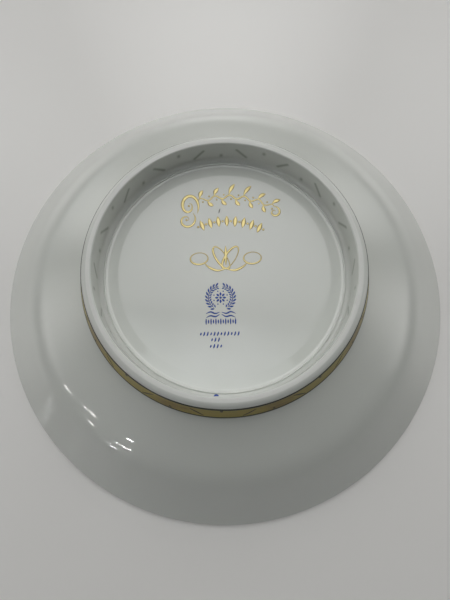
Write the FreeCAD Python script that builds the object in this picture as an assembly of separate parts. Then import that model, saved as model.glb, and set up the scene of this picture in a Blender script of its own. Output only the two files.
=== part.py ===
import FreeCAD, Part
import math
import os

# A footed porcelain souvenir dish lying face down, as it does when its underside is read.
# Millimetres. +Z is up and is the axis of the dish, the rim rests on z = 0, the foot points
# up, and the writing-side decoration on the base reads from -Y. The origin is the centre of
# the rim circle, on the surface that the rim rests on.

V = FreeCAD.Vector

# ---- driving dimensions: the dish --------------------------------------------------------
rim_diameter = 240.0
lip_radius = 1.6                # the lip is a half round, twice this thick
rim_slope = 44.0                # degrees, the flank beside the lip
shoulder_slope = 26.0           # degrees, the flank beside the foot
bend_height = 24.5              # where the two slopes would meet on the outside
bend_radius = 55.0
base_height = 36.6              # the recessed base inside the foot
base_thickness = 4.5
flank_thickness = 4.0           # at the bend
well_radius = 68.9              # where the flat of the well turns into the flank
well_blend = 88.0
inner_bend_radius = 48.0

# ---- driving dimensions: the foot --------------------------------------------------------
foot_radius = 69.0              # outside, where the foot leaves the shoulder
foot_root_height = 38.1
foot_top_height = 51.1
foot_flare = 18.0               # degrees from upright, outside face
foot_inner_radius = 60.5
foot_shoulder_round = 3.4
foot_edge_round = 0.7
toe_radius = 58.6               # inside, where the foot's cove meets the base
toe_height = 1.4
cove_round = 2.6
bead_width = 1.0
bead_height = 0.5
bead_round = 0.24
gutter_width = 6.0              # a shallow gutter in the base runs round inside the bead
gutter_depth = 0.3
gutter_lowest = 1.1             # how far inside the bead it is deepest
gutter_round = 1.2
gutter_blend = 8.0

# ---- driving dimensions: enamel, gilding and marks ---------------------------------------
ground_thickness = 0.12
line_thickness = 0.2
stroke_thickness = 0.1
lower_line_span = (38.2, 39.8)          # heights of the two dark lines round the foot
upper_line_span = (47.5, 49.1)
motifs = 18                             # brush strokes round the band, one every 20 degrees
stroke_length = 9.0
stroke_width = 1.0
stroke_lean = 47.0                      # degrees from upright
stroke_middle_height = 43.3
high_dot_height = 46.8
low_dot_height = 41.0
dot_size = (1.3, 1.8)                   # across and along
gilt_thickness = 0.15
blue_thickness = 0.1

os.makedirs("parts", exist_ok=True)


def save(name, shapes):
    """Write one node's solids to its STEP file."""
    shape = shapes[0] if len(shapes) == 1 else Part.makeCompound(shapes)
    if not shape.isValid():
        raise RuntimeError(name + " is not valid")
    shape.exportStep("parts/" + name + ".step")
    print(name, len(shape.Solids), "solids", round(shape.Volume, 2), "mm3")


# ---- turned shapes -----------------------------------------------------------------------
def turned(corners):
    """Solid of revolution about Z from corners (radius, height, rounding)."""
    spots = [V(r, 0, z) for r, z, _ in corners]
    starts, ends = [], []
    arc_middles = {}
    for i, (_, _, rounding) in enumerate(corners):
        here = spots[i]
        if rounding == 0:
            starts.append(here)
            ends.append(here)
            continue
        back = (spots[i - 1] - here).normalize()
        ahead = (spots[(i + 1) % len(spots)] - here).normalize()
        half_angle = back.getAngle(ahead) / 2
        reach = rounding / math.tan(half_angle)
        to_centre = (back + ahead).normalize()
        middle = here + to_centre * (rounding / math.sin(half_angle) - rounding)
        starts.append(here + back * reach)
        ends.append(here + ahead * reach)
        arc_middles[i] = middle
    edges = []
    for i in range(len(spots)):
        if i in arc_middles:
            edges.append(Part.Arc(starts[i], arc_middles[i], ends[i]).toShape())
        after = starts[(i + 1) % len(spots)]
        if (after - ends[i]).Length > 1e-6:
            edges.append(Part.LineSegment(ends[i], after).toShape())
    face = Part.Face(Part.Wire(edges))
    return face.revolve(V(0, 0, 0), V(0, 0, 1), 360)


def tan_deg(angle):
    return math.tan(math.radians(angle))


# The lip's two square corners, before they are rounded into one half round.
lip_centre = V(rim_diameter / 2 - lip_radius, 0, lip_radius)
down_flank = V(math.cos(math.radians(rim_slope)), 0, -math.sin(math.radians(rim_slope)))
off_flank = V(math.sin(math.radians(rim_slope)), 0, math.cos(math.radians(rim_slope)))
outer_lip = lip_centre + (down_flank + off_flank) * lip_radius
inner_lip = lip_centre + (down_flank - off_flank) * lip_radius

# The outside bend lies where the rim slope, run up from the lip, reaches bend_height.
bend_at = outer_lip.x - (bend_height - outer_lip.z) / tan_deg(rim_slope)
bend_normal = math.radians((rim_slope + shoulder_slope) / 2)
inner_bend_at = bend_at - flank_thickness * math.sin(bend_normal)
inner_bend_height = bend_height - flank_thickness * math.cos(bend_normal)
well_height = base_height - base_thickness
bead_inner_radius = toe_radius - bead_width

bowl_body = turned([
    (0, well_height, 0),
    (well_radius, well_height, well_blend),
    (inner_bend_at, inner_bend_height, inner_bend_radius),
    (inner_lip.x, inner_lip.z, lip_radius),
    (outer_lip.x, outer_lip.z, lip_radius),
    (bend_at, bend_height, bend_radius),
    (foot_radius, foot_root_height, 0),
    (foot_radius, base_height, 0),
    (bead_inner_radius, base_height, 0),
    (bead_inner_radius - gutter_lowest, base_height - gutter_depth, gutter_round),
    (bead_inner_radius - gutter_width, base_height, gutter_blend),
    (0, base_height, 0),
])


def foot_face(height):
    """Outside radius of the foot's flared face at a height."""
    return foot_radius - (height - foot_root_height) * tan_deg(foot_flare)


foot_ring = turned([
    (toe_radius, base_height, 0),
    (foot_radius, base_height, 0),
    (foot_radius, foot_root_height, 0),
    (foot_face(foot_top_height), foot_top_height, foot_shoulder_round),
    (foot_inner_radius, foot_top_height, foot_edge_round),
    (foot_inner_radius, base_height + toe_height, cove_round),
])

# A fine bead of slip squeezed out where the foot was stuck to the base.
luting_bead = turned([
    (bead_inner_radius, base_height, 0),
    (toe_radius, base_height, 0),
    (toe_radius, base_height + bead_height, bead_round),
    (bead_inner_radius, base_height + bead_height, bead_round),
])

save("bowl_body", [bowl_body])
save("foot_ring", [foot_ring])
save("luting_bead", [luting_bead])


# ---- enamel band round the foot ----------------------------------------------------------
def foot_layer(low, high, depth, thickness):
    """Ring of enamel between two heights, from depth to depth + thickness off the outside face."""
    outlines = []
    for off in (depth, depth + thickness):
        up = off / math.cos(math.radians(foot_flare))
        outlines.append(turned([
            (foot_inner_radius, foot_root_height, 0),
            (foot_radius + up, foot_root_height, 0),
            (foot_face(foot_top_height + off) + up, foot_top_height + off, foot_shoulder_round + off),
            (foot_inner_radius, foot_top_height + off, 0),
        ]))
    slab = Part.makeCylinder(foot_radius + 2, high - low, V(0, 0, low))
    return outlines[1].cut(outlines[0]).common(slab)


def painters_drift(angle):
    """How far the free-hand spacing wanders from even, in degrees."""
    return 1.9 * math.cos(math.radians(angle - 135))


def cutter(angle, height, length, width, lean, rounded):
    """Bar or pill that points out of the foot at an angle and a height, leaning by lean."""
    depth = 8.0
    if rounded:
        circle = Part.makeCylinder(width / 2, depth, V(0, 0, 0), V(0, -1, 0))
        stretch = FreeCAD.Matrix()
        stretch.scale(1, 1, length / width)
        bar = circle.transformGeometry(stretch)
    else:
        bar = Part.makeBox(width, depth, length, V(-width / 2, -depth, -length / 2))
    bar.rotate(V(0, 0, 0), V(0, 1, 0), lean)
    bar.translate(V(0, -foot_inner_radius, height))
    bar.rotate(V(0, 0, 0), V(0, 0, 1), angle + 90)
    return bar


lines = {"band_lower_line": lower_line_span, "band_upper_line": upper_line_span}
for name, (low, high) in lines.items():
    save(name, [foot_layer(low, high, 0, line_thickness)])

ground_low = lower_line_span[1]
ground_high = upper_line_span[0]
save("band_ground", [foot_layer(ground_low, ground_high, 0, ground_thickness)])

paint_layer = foot_layer(ground_low + 0.2, ground_high - 0.2, ground_thickness, stroke_thickness)
strokes = []
dots = []
for k in range(motifs):
    even = 20.0 * k
    middle = even + painters_drift(even)
    lean = stroke_lean if k % 2 else -stroke_lean
    stroke = cutter(middle, stroke_middle_height, stroke_length, stroke_width, lean, False)
    strokes.append(paint_layer.common(stroke).Solids[0])
    beside = even + 9.5
    dot_height = high_dot_height if k % 2 else low_dot_height
    dot = cutter(beside + painters_drift(beside), dot_height, dot_size[1], dot_size[0], 0, True)
    dots.append(paint_layer.common(dot).Solids[0])
save("band_strokes", strokes)
save("band_dots", dots)


# ---- gilding and marks on the base -------------------------------------------------------
def brush_mark(spots, width, thickness, blunt=0.25):
    """Flat brush mark along a smooth line through spots (x, y), swelling to width halfway.

    blunt is how wide the two ends are, as a share of the width.
    """
    line = Part.BSplineCurve()
    line.interpolate([V(x, y, base_height) for x, y in spots])
    samples = max(9, 4 * len(spots))
    left, right = [], []
    for i in range(samples):
        t = i / (samples - 1)
        along = line.parameterAtDistance(t * line.length(), line.FirstParameter)
        spot = line.value(along)
        ahead = line.tangent(along)[0]
        half = width / 2 * (blunt + (1 - blunt) * math.sin(math.pi * t) ** 0.8)
        side = V(-ahead.y, ahead.x, 0) * half
        left.append(spot + side)
        right.append(spot - side)
    edges = []
    for side in (left, right):
        curve = Part.BSplineCurve()
        curve.interpolate(side)
        edges.append(curve.toShape())
    edges.append(Part.LineSegment(left[0], right[0]).toShape())
    edges.append(Part.LineSegment(left[-1], right[-1]).toShape())
    face = Part.Face(Part.Wire(Part.__sortEdges__(edges)))
    return face.extrude(V(0, 0, thickness))


def bead(x, y, radius, thickness):
    """Small round dot of gilding or colour."""
    return Part.makeCylinder(radius, thickness, V(x, y, base_height))


def ring(x, y, half_length, half_width, tilt, line_width, thickness):
    """Flat oval loop of one brush width, tilted in degrees."""
    outer, inner = [
        Part.Face(Part.Wire(Part.Ellipse(V(0, 0, 0), half_length + grow, half_width + grow).toShape()))
        for grow in (line_width / 2, -line_width / 2)]
    loop = outer.cut(inner).extrude(V(0, 0, thickness))
    loop.rotate(V(0, 0, 0), V(0, 0, 1), tilt)
    loop.translate(V(x, y, base_height))
    return loop


def joined(shapes):
    """Touching marks become one solid, and marks that stand alone stay apart."""
    return shapes[0].multiFuse(shapes[1:]).removeSplitter().Solids


def curl(x, y, size, start, turns, narrow=1.0):
    """Spots along a spiral that winds into (x, y) from an angle, narrow across."""
    spots = []
    steps = int(8 * abs(turns)) + 2
    for i in range(steps):
        t = i / (steps - 1)
        angle = math.radians(start + 360 * turns * t)
        reach = size * (1 - 0.82 * t ** 0.85)
        spots.append((x + narrow * reach * math.cos(angle), y + reach * math.sin(angle)))
    return spots


# The two gilt rows bend round one centre below them.
arch_centre = (1.5, -10.0)
scroll_radius = 47.0
row_radius = 36.0


def on_arch(radius, along, above):
    """Place that lies along (mm, from the top) and above (mm) an arch of a radius."""
    angle = along / radius
    reach = radius + above
    return arch_centre[0] + reach * math.sin(angle), arch_centre[1] + reach * math.cos(angle)


def arch_mark(radius, start, end, width, bow=0.0, blunt=0.25):
    """Brush mark between two places on an arch, bowed to one side by bow mm."""
    a = on_arch(radius, *start)
    b = on_arch(radius, *end)
    length = math.dist(a, b)
    middle = ((a[0] + b[0]) / 2 - bow * (b[1] - a[1]) / length,
              (a[1] + b[1]) / 2 + bow * (b[0] - a[0]) / length)
    return brush_mark([a, middle, b], width, gilt_thickness, blunt)


# A leafy vine: a wavy stem, leaves on alternate sides with a bead across from each, and curls.
vine_start, vine_end = -14.2, 24.0
wave_length, wave_height, stem_height = 7.0, 1.0, 2.4
leaf_count = 11
tall_leaves = (4, 6)


def vine_height(along):
    return stem_height + wave_height * math.sin(2 * math.pi * (along - vine_start) / wave_length)


stem_spots = []
for i in range(23):
    along = vine_start + (vine_end - vine_start) * i / 22
    stem_spots.append(on_arch(scroll_radius, along, vine_height(along)))
vine = [brush_mark(stem_spots, 0.9, gilt_thickness, 0.6)]
vine_beads = []
for i in range(leaf_count):
    root = vine_start + wave_length / 2 * (i + 0.35)
    side = 1 if i % 2 == 0 else -1
    tall = 6.6 if i in tall_leaves else 4.4 if side > 0 else 3.6
    tip = (root + 2.6, vine_height(root) + side * tall)
    vine.append(arch_mark(scroll_radius, (root, vine_height(root)), tip, 2.0, 0.5 * side))
    spot = on_arch(scroll_radius, root + 1.2, vine_height(root) - side * 2.1)
    vine_beads.append(bead(*spot, 0.5, gilt_thickness))
big_curl = on_arch(scroll_radius, -19.0, 1.5)
low_curl = on_arch(scroll_radius, -23.5, -5.0)
end_curl = on_arch(scroll_radius, 25.2, 0.2)
vine.append(brush_mark(curl(*big_curl, 7.4, -35, 1.35, 0.72), 1.7, gilt_thickness))
vine.append(brush_mark(curl(*low_curl, 5.2, 50, -1.2, 0.95), 1.2, gilt_thickness))
vine.append(brush_mark(curl(*end_curl, 3.3, 100, -1.2), 1.2, gilt_thickness))
for heart in (big_curl, low_curl):
    vine_beads.append(bead(*heart, 0.6, gilt_thickness))
save("gilt_scroll", joined(vine + vine_beads))

# A row of upright lozenge leaves with a bead between each two and at each end.
row_marks = []
for i in range(9):
    along = -14.7 + 4.2 * i
    row_marks.append(bead(*on_arch(row_radius, along, 0), 0.65, gilt_thickness))
    if i < 8:
        leaf_at = along + 2.1
        row_marks.append(arch_mark(row_radius, (leaf_at, -3.0), (leaf_at, 3.0), 2.3, 0.0, 0.12))
save("gilt_leaf_row", row_marks)

# A knot: two tall oval loops crossed over a bud, an oval loop each side, and a sweep below.
knot_x, knot_y = 0.7, 6.3
knot = [brush_mark([(knot_x, knot_y + y) for y in (-3.6, 1.5, 6.6)], 1.5, gilt_thickness)]
for side in (-1, 1):
    knot.append(ring(knot_x + 13.0 * side, knot_y, 4.3, 3.0, 4, 0.9, gilt_thickness))
    knot.append(ring(knot_x + 2.2 * side, knot_y + 0.3, 6.6, 2.5, 90 - 32 * side, 1.1, gilt_thickness))
    sweep = ((0.2, -5.6), (4.4, -6.2), (8.4, -4.4), (10.6, -2.0))
    knot.append(brush_mark([(knot_x + x * side, knot_y + y) for x, y in sweep], 1.2, gilt_thickness))
save("gilt_knot", joined(knot))

# An open wreath of paired leaves on two stems, a rosette in it, and a ribbon and bars below.
mark_centre = (-2.1, -13.6)
stem_reach = 5.8


def around_mark(reach, angle):
    """Place at a distance and an angle (degrees from straight up, clockwise) about the mark."""
    turn = math.radians(angle)
    return mark_centre[0] + reach * math.sin(turn), mark_centre[1] + reach * math.cos(turn)


def radial_leaf(root_reach, tip_reach, root_angle, tip_angle, width):
    """Small leaf between two places about the mark."""
    root = around_mark(root_reach, root_angle)
    tip = around_mark(tip_reach, tip_angle)
    middle = ((root[0] + tip[0]) / 2, (root[1] + tip[1]) / 2)
    return brush_mark([root, middle, tip], width, blue_thickness)


wreath = []
for side in (-1, 1):
    stem = [around_mark(stem_reach, side * angle) for angle in range(8, 157, 14)]
    wreath.append(brush_mark(stem, 0.35, blue_thickness, 0.8))
    for i in range(10):
        angle = side * (8 + 14.5 * i)
        wreath.append(radial_leaf(stem_reach + 0.3, 7.5, angle + 14 * side, angle, 0.8))
        wreath.append(radial_leaf(stem_reach - 0.3, 4.4, angle + 14 * side, angle, 0.65))
save("blue_wreath", wreath)

rosette = [bead(*mark_centre, 0.6, blue_thickness)]
for i in range(8):
    rosette.append(radial_leaf(0.9, 2.7, 45 * i, 45 * i, 1.0))
    rosette.append(bead(*around_mark(3.4, 45 * i + 22.5), 0.3, blue_thickness))
save("blue_rosette", rosette)

ribbon = []
tails = (((0.3, -7.0), (2.6, -7.7), (4.8, -6.9), (7.2, -7.9)),
         ((0.3, -8.0), (2.4, -9.2), (4.9, -8.8), (7.0, -9.8)))
for side in (-1, 1):
    for tail in tails:
        spots = [(mark_centre[0] + side * x, mark_centre[1] + y) for x, y in tail]
        ribbon.append(brush_mark(spots, 0.7, blue_thickness))
bar_count, bar_step = 13, 1.15
for i in range(bar_count):
    x = mark_centre[0] + bar_step * (i - (bar_count - 1) / 2)
    y = mark_centre[1] - 11.6
    half = 1.5 if i % 2 == 0 else 1.0
    ribbon.append(brush_mark([(x, y - half), (x, y), (x, y + half)], 0.65, blue_thickness, 0.4))
save("blue_ribbon", ribbon)

# Three short rows of the painters' brush ticks: node, first x, count, y.
tick_step = 1.6
tick_rows = (("tick_row_long", -11.6, 12, -31.0), ("tick_row_short", -6.4, 3, -33.8),
             ("tick_row_low", -7.0, 4, -36.8))
for name, first, count, y in tick_rows:
    ticks = []
    for i in range(count):
        x = first + tick_step * i
        half = 1.05 if i % 3 else 0.7
        spots = [(x - 0.3 * half, y - half), (x + 0.15, y), (x + 0.3 * half, y + half)]
        ticks.append(brush_mark(spots, 0.65, blue_thickness, 0.5))
    save(name, ticks)

save("inspector_tick", [brush_mark([(-2.5, 30.2), (-2.2, 31.6), (-1.8, 33.0)], 0.6, blue_thickness)])

# One comma of blue on the cove inside the foot, opposite the scroll.
comma = brush_mark([(-5.7, -59.5), (-4.6, -59.0), (-3.4, -59.35)], 1.1, 4.0, 0.3)
raised_foot = foot_ring.translated(V(0, 0, blue_thickness))
save("painter_dab", [raised_foot.cut(foot_ring).common(comma).Solids[0]])
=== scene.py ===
"""Footed porcelain souvenir dish, lying face down on a pale table, built around its CAD frame."""

import math

import bpy
import numpy as np
from bpy.props import FloatProperty, FloatVectorProperty, IntProperty, PointerProperty
from mathutils import Matrix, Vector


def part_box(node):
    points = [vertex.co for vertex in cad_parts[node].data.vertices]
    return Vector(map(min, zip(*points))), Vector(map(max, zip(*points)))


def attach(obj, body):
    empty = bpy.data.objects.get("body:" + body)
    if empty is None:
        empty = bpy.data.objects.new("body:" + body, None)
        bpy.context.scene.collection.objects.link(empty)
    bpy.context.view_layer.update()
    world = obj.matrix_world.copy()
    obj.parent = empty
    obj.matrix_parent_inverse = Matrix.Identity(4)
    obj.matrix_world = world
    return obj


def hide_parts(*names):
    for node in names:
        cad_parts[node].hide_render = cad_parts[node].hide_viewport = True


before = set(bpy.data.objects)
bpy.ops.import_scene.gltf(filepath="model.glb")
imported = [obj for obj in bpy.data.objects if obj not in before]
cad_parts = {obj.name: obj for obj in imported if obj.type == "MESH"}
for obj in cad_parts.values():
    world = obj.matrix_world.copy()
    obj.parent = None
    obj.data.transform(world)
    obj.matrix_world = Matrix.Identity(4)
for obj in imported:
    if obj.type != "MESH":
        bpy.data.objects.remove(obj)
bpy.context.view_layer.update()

bl_info = {
    "name": "Footed Souvenir Dish",
    "version": (1, 0, 0),
    "blender": (4, 5, 0),
    "location": "View3D > Sidebar > Dish",
    "description": "Glazed dish with an enamelled foot, gilt ornament and blue marks",
    "category": "Add Mesh",
}

MM = 0.001
BODY = "root"
ACROSS = 9  # points over a brush mark, from edge to edge
BLUNT = 0.25  # width of a brush mark's ends, of its full width
CREASE = 75  # degrees past which a brush mark's edge is sharp
CLAY_CREASE = 35
OVER = np.linspace(0, math.pi, ACROSS)  # angle of each of those points

# Places that the frame gives.
bowl_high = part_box("bowl_body")[1]
foot_low, foot_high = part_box("foot_ring")
bead_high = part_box("luting_bead")[1]
lower_line_low, lower_line_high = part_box("band_lower_line")
upper_line_low, upper_line_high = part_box("band_upper_line")


# ---- sizes and colours that a user would change ------------------------------------------
def length(name, default, description):
    return FloatProperty(name=name, description=description, default=default, unit="LENGTH", precision=5)


def angle(name, degrees, description):
    return FloatProperty(
        name=name, description=description, default=math.radians(degrees), subtype="ANGLE"
    )


def colour(name, default, description):
    return FloatVectorProperty(
        name=name, description=description, default=default, subtype="COLOR", min=0, max=1
    )


class DishSizes(bpy.types.PropertyGroup):
    """The turned clay: bowl, foot and bead."""

    rim_radius: length("Rim radius", bowl_high.x, "Outermost reach of the lip")
    lip_radius: length("Lip radius", 1.6 * MM, "The lip is a half round, twice this thick")
    rim_slope: angle("Rim slope", 44, "Slope of the flank beside the lip")
    shoulder_slope: angle("Shoulder slope", 26, "Slope of the flank beside the foot")
    bend_height: length("Bend height", 24.5 * MM, "Where the two slopes would meet")
    bend_radius: length("Bend radius", 55 * MM, "Rounding between the two slopes")
    base_height: length("Base height", foot_low.z, "Height of the recessed base")
    base_thickness: length("Base thickness", 4.5 * MM, "Clay under the base")
    flank_thickness: length("Flank thickness", 4 * MM, "Clay at the bend")
    well_radius: length("Well radius", 68.9 * MM, "Where the well turns into the flank")
    well_blend: length("Well blend", 88 * MM, "Rounding at the edge of the well")
    inner_bend_radius: length("Inner bend radius", 48 * MM, "Rounding of the flank inside")
    foot_radius: length("Foot radius", foot_high.x, "Outside of the foot at its root")
    foot_root: length("Foot root", bowl_high.z, "Height at which the foot leaves the flank")
    foot_top: length("Foot top", foot_high.z, "Height of the foot's crest")
    foot_flare: angle("Foot flare", 18, "Lean of the foot's outside face from upright")
    foot_inner: length("Foot inside radius", 60.5 * MM, "Upright inside face of the foot")
    foot_shoulder: length("Crest rounding", 3.4 * MM, "Rounding outside the crest")
    foot_edge: length("Crest inner rounding", 0.7 * MM, "Rounding inside the crest")
    toe_radius: length("Toe radius", bead_high.x, "Where the foot's cove meets the base")
    toe_height: length("Toe height", 1.4 * MM, "Height of the cove above the base")
    cove_radius: length("Cove radius", 2.6 * MM, "Rounding of the cove")
    bead_width: length("Bead width", 1 * MM, "Width of the bead of slip")
    gutter_width: length("Gutter width", 6 * MM, "Shallow gutter inside the bead")
    gutter_depth: length("Gutter depth", 0.3 * MM, "Depth of the gutter")
    gutter_lowest: length("Gutter lowest", 1.1 * MM, "Where the gutter is deepest")
    gutter_blend: length("Gutter blend", 8 * MM, "Rounding from the gutter to the base")
    gutter_round: length("Gutter rounding", 1.2 * MM, "Rounding of the gutter's lowest line")
    segments: IntProperty(name="Segments", description="Facets round the bowl", default=288, min=24)


class BandSizes(bpy.types.PropertyGroup):
    """The enamel band round the foot."""

    motifs: IntProperty(name="Motifs", description="Brush strokes round the band", default=18, min=2)
    ground_thickness: length("Ground thickness", 0.12 * MM, "Ochre enamel")
    line_thickness: length("Line thickness", 0.2 * MM, "Dark banding lines at their middle")
    stroke_thickness: length("Stroke thickness", 0.1 * MM, "Brush strokes above the ochre")
    stroke_length: length("Stroke length", 9 * MM, "Length of a slanted stroke")
    stroke_width: length("Stroke width", 1.15 * MM, "Width of a slanted stroke")
    stroke_lean: angle("Stroke lean", 47, "Lean of a stroke from upright")
    stroke_middle: length("Stroke middle", 43.3 * MM, "Height of the middle of a stroke")
    high_dot: length("High dots", 46.8 * MM, "Height of every second dot")
    low_dot: length("Low dots", 41 * MM, "Height of the other dots")
    dot_width: length("Dot width", 1.3 * MM, "Width of a dot")
    dot_length: length("Dot length", 1.8 * MM, "Length of a dot")
    dot_turn: angle("Dot turn", 9.5, "Angle from a stroke to the dot beside it")
    drift: angle("Drift", 1.9, "How far the painter's spacing wanders from even")
    drift_turn: angle("Drift turn", 135, "Where the spacing wanders most")


class MarkSizes(bpy.types.PropertyGroup):
    """Gilding and blue marks on the base."""

    gilt_thickness: length("Gilding thickness", 0.15 * MM, "Height of a gilt stroke")
    blue_thickness: length("Colour thickness", 0.1 * MM, "Height of a blue stroke")
    arch_centre_x: length("Arch centre X", 1.5 * MM, "Centre that both gilt rows bend round")
    arch_centre_y: length("Arch centre Y", -10 * MM, "Centre that both gilt rows bend round")
    scroll_radius: length("Vine radius", 47 * MM, "Arch that the vine stands on")
    row_radius: length("Leaf row radius", 36 * MM, "Arch through the leaf row")


class DishColours(bpy.types.PropertyGroup):
    """Colours of the glaze, enamels, metal and table."""

    porcelain: colour("Porcelain", (0.73, 0.748, 0.705), "White body under clear glaze")
    biscuit: colour("Biscuit", (0.84, 0.845, 0.81), "Bare ground clay on the crest")
    # Painted shade: the shadow of the band's strokes and dots, seen through the translucent foot.
    ghost: colour("Ghost", (0.33, 0.36, 0.30), "Strokes that show through the foot")
    ochre: colour("Ochre", (0.42, 0.335, 0.07), "Ground of the band")
    brown: colour("Orange brown", (0.26, 0.165, 0.05), "Warmer strokes in the ground")
    line_green: colour("Line green", (0.012, 0.014, 0.004), "Dark banding lines")
    stroke_brown: colour("Stroke brown", (0.045, 0.035, 0.010), "Slanted strokes and dots")
    gold: colour("Gold", (0.53, 0.445, 0.21), "Burnished gilding")
    # Painted shade along the edges of the gilt strokes.
    gold_shaded_edge: colour("Gold edge", (0.17, 0.115, 0.04), "Darker rim of a gilt stroke")
    worn_gold: colour("Worn gold", (0.5, 0.36, 0.15), "Gilding rubbed thin")
    cobalt: colour("Cobalt", (0.012, 0.038, 0.180), "Blue marks")
    slip: colour("Dark slip", (0.05, 0.045, 0.04), "The inspector's tick")
    table: colour("Table", (0.94, 0.925, 0.9), "Pale table top")


class StageSettings(bpy.types.PropertyGroup):
    """Camera and lights."""

    camera_back: length("Camera back", 67.2 * MM, "Distance of the camera on the near side")
    camera_height: length("Camera height", 234.4 * MM, "Height of the camera")
    camera_tilt: angle("Camera tilt", 14.84, "Tilt of the camera from straight down")
    camera_roll: angle("Camera roll", -0.86, "Roll of the camera")
    camera_lens: FloatProperty(
        name="Lens", description="Focal length, with 36 mm along the long side", default=25.8
    )
    sky: FloatProperty(name="Room", description="Brightness of the room all round", default=0.01)
    panels: FloatProperty(name="Panels", description="Brightness of all the soft panels", default=1.0)
    slits: FloatProperty(name="Slits", description="Brightness of the thin near lights", default=55.0)


# ---- meshes ------------------------------------------------------------------------------
def rounded_path(corners, loop, longest=2.2 * MM):
    """Points (r, z) along straight runs joined by tangent arcs, from corners (r, z, rounding).

    Where the two sides of a corner stand at an angle of 2h, an arc of radius c touches each
    of them c / tan(h) from the corner, and its centre is c / sin(h) away on the bisector.
    """
    spots = [np.array(c[:2]) for c in corners]
    runs = []
    for i, (_, _, rounding) in enumerate(corners):
        here = spots[i]
        if rounding == 0:
            runs.append(here[None])
            continue
        back = spots[i - 1] - here
        ahead = spots[(i + 1) % len(spots)] - here
        back = back / np.linalg.norm(back)
        ahead = ahead / np.linalg.norm(ahead)
        half = math.acos(float(np.clip(back @ ahead, -1, 1))) / 2
        middle = (back + ahead) / np.linalg.norm(back + ahead)
        turn = math.pi - 2 * half
        steps = max(3, math.ceil(turn / math.radians(7)), math.ceil(rounding * turn / longest))
        sweep = np.linspace(-turn / 2, turn / 2, steps + 1)
        side = ahead - middle * (ahead @ middle)
        side = side / np.linalg.norm(side)
        centre = here + middle * rounding / math.sin(half)
        c, d = np.cos(sweep)[:, None], np.sin(sweep)[:, None]
        runs.append(centre + rounding * (d * side - c * middle))
    points = []
    last = len(runs) if loop else len(runs) - 1
    for i, run in enumerate(runs):
        points.append(run)
        if i < last:
            start, end = run[-1], runs[(i + 1) % len(runs)][0]
            gap = np.linalg.norm(end - start)
            steps = max(1, math.ceil(gap / longest))
            share = (np.arange(1, steps) / steps)[:, None]
            points.append(start + share * (end - start))
    path = np.concatenate(points)
    step = np.linalg.norm(np.diff(path, axis=0), axis=1)
    return path[np.concatenate([[True], step > 1e-7])]


def turned(profile, segments, loop):
    """Rings of a surface of revolution: (r, z) goes to (r cos t, r sin t, z) for every angle t."""
    t = np.linspace(0, 2 * math.pi, segments, endpoint=False)
    r, z = profile[:, 0][:, None], profile[:, 1][:, None]
    rings = np.stack([r * np.cos(t), r * np.sin(t), z + 0 * t], axis=-1)
    return rings, loop


def tube_faces(rings, loop):
    """Vertices, quads and end triangles of a closed tube from rings of points.

    Ring u joins ring u + 1. A looped tube's last ring joins its first, and any other tube has
    each end closed by a fan to the middle of its end ring.
    """
    count, around = rings.shape[:2]
    points = rings.reshape(-1, 3)
    u = np.arange(count if loop else count - 1)[:, None]
    v = np.arange(around)[None, :]
    after_u = (u + 1) % count
    after_v = (v + 1) % around
    quads = np.stack(
        [u * around + v, u * around + after_v, after_u * around + after_v, after_u * around + v], axis=-1
    ).reshape(-1, 4)
    fans = np.zeros((0, 3), int)
    if not loop:
        first, last = len(points), len(points) + 1
        points = np.vstack([points, rings[0].mean(axis=0), rings[-1].mean(axis=0)])
        v = np.arange(around)
        ahead = (v + 1) % around
        start = np.stack([np.full(around, first), ahead, v], axis=-1)
        end_ring = (count - 1) * around
        end = np.stack([np.full(around, last), end_ring + v, end_ring + ahead], axis=-1)
        fans = np.vstack([start, end])
    triangles = np.vstack([quads[:, [0, 1, 2]], quads[:, [0, 2, 3]], fans])
    a, b, c = (points[triangles[:, k]] for k in range(3))
    if np.einsum("ij,ij->i", a, np.cross(b, c)).sum() < 0:
        quads, fans = quads[:, ::-1], fans[:, ::-1]
    return points, quads, fans


def build(name, tubes, node, finish, crease=40):
    """One piece from closed tubes: it rides the dish and stands for its CAD node."""
    points, faces, offset = [], [], 0
    for rings, loop in tubes:
        spots, quads, fans = tube_faces(rings, loop)
        points.append(spots)
        faces += (quads + offset).tolist() + (fans + offset).tolist()
        offset += len(spots)
    mesh = bpy.data.meshes.new(name)
    mesh.from_pydata(np.concatenate(points).tolist(), [], faces)
    mesh.shade_smooth()
    mesh.set_sharp_from_angle(angle=math.radians(crease))
    mesh.materials.append(finish)
    piece = bpy.data.objects.new(name, mesh)
    bpy.context.scene.collection.objects.link(piece)
    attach(piece, BODY)
    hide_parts(node)
    return piece


def smooth_line(spots, count):
    """Points of a Catmull-Rom curve through the spots, evenly spaced along it.

    Between two spots it is the cubic whose slope at each spot is half the chord from the spot
    before to the spot after.
    """
    p = np.array(spots, float)
    p = np.vstack([2 * p[0] - p[1], p, 2 * p[-1] - p[-2]])
    t = np.linspace(0, 1, 16, endpoint=False)[None, :, None]
    a, b, c, d = (p[k : len(p) - 3 + k][:, None, :] for k in range(4))
    square, cube = 2 * a - 5 * b + 4 * c - d, 3 * b - a - 3 * c + d
    curve = 0.5 * (2 * b + (c - a) * t + square * t**2 + cube * t**3)
    curve = np.vstack([curve.reshape(-1, p.shape[1]), p[-2]])
    run = np.concatenate([[0], np.cumsum(np.linalg.norm(np.diff(curve, axis=0), axis=1))])
    even = np.linspace(0, run[-1], count)
    return np.stack([np.interp(even, run, curve[:, k]) for k in range(p.shape[1])], axis=-1)


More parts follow.
